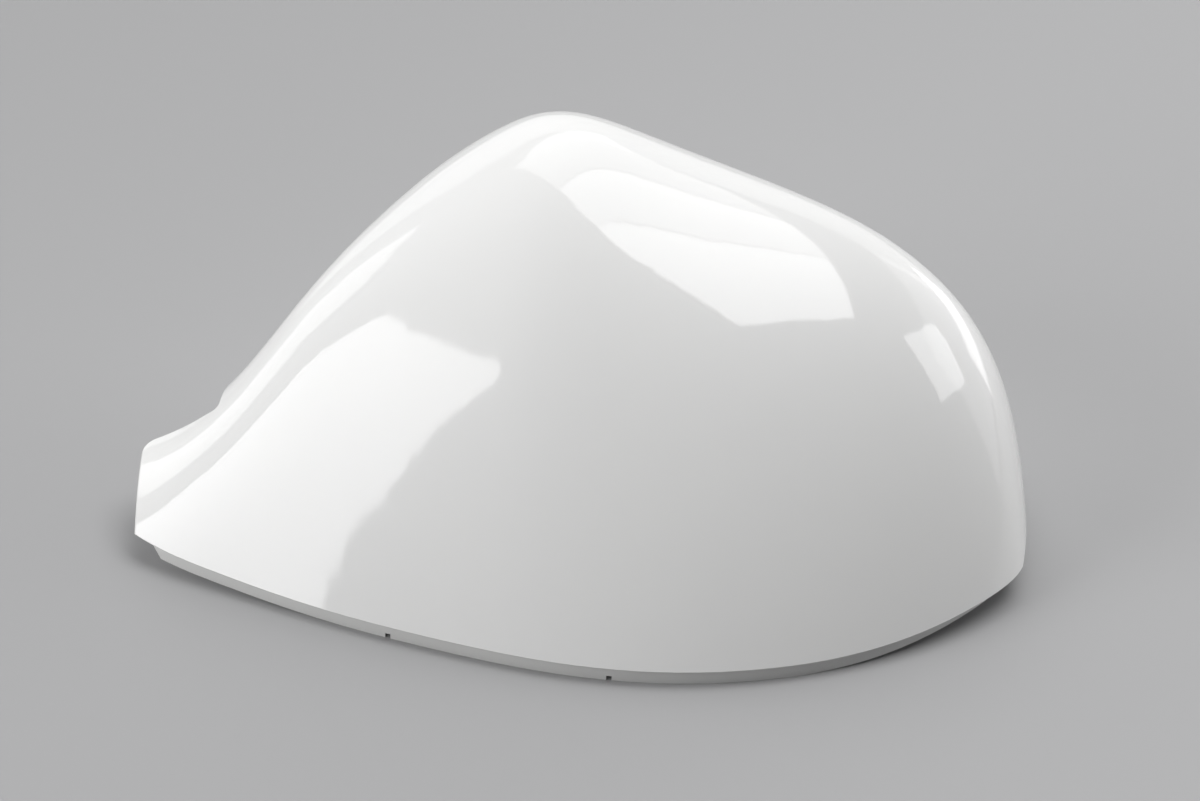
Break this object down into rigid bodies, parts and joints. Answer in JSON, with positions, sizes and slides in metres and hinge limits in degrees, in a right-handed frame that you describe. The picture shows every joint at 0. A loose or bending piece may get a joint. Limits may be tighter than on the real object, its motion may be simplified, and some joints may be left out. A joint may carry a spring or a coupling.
{
  "type": "wing mirror cover",
  "caption": "Glossy white domed cap for a vehicle's wing mirror: a moulded shell with a sloping ridge, a low neck with a notch behind it, a set-in tongue along its rim and snap blades inside.",
  "frame": {"origin": "middle of the plan on the plane the rim rests on", "axes": "+X from the neck to the outboard end, +Y from the cover's lower edge to its upper edge, +Z from the open rim towards the crown"},
  "size_m": [0.2406, 0.1398, 0.1048],
  "materials": {
    "white_paint": "gloss clear-coated paint on moulded plastic"
  },
  "bodies": {
    "root": {"mirror_cover": "white_paint"}
  },
  "joints": []
}
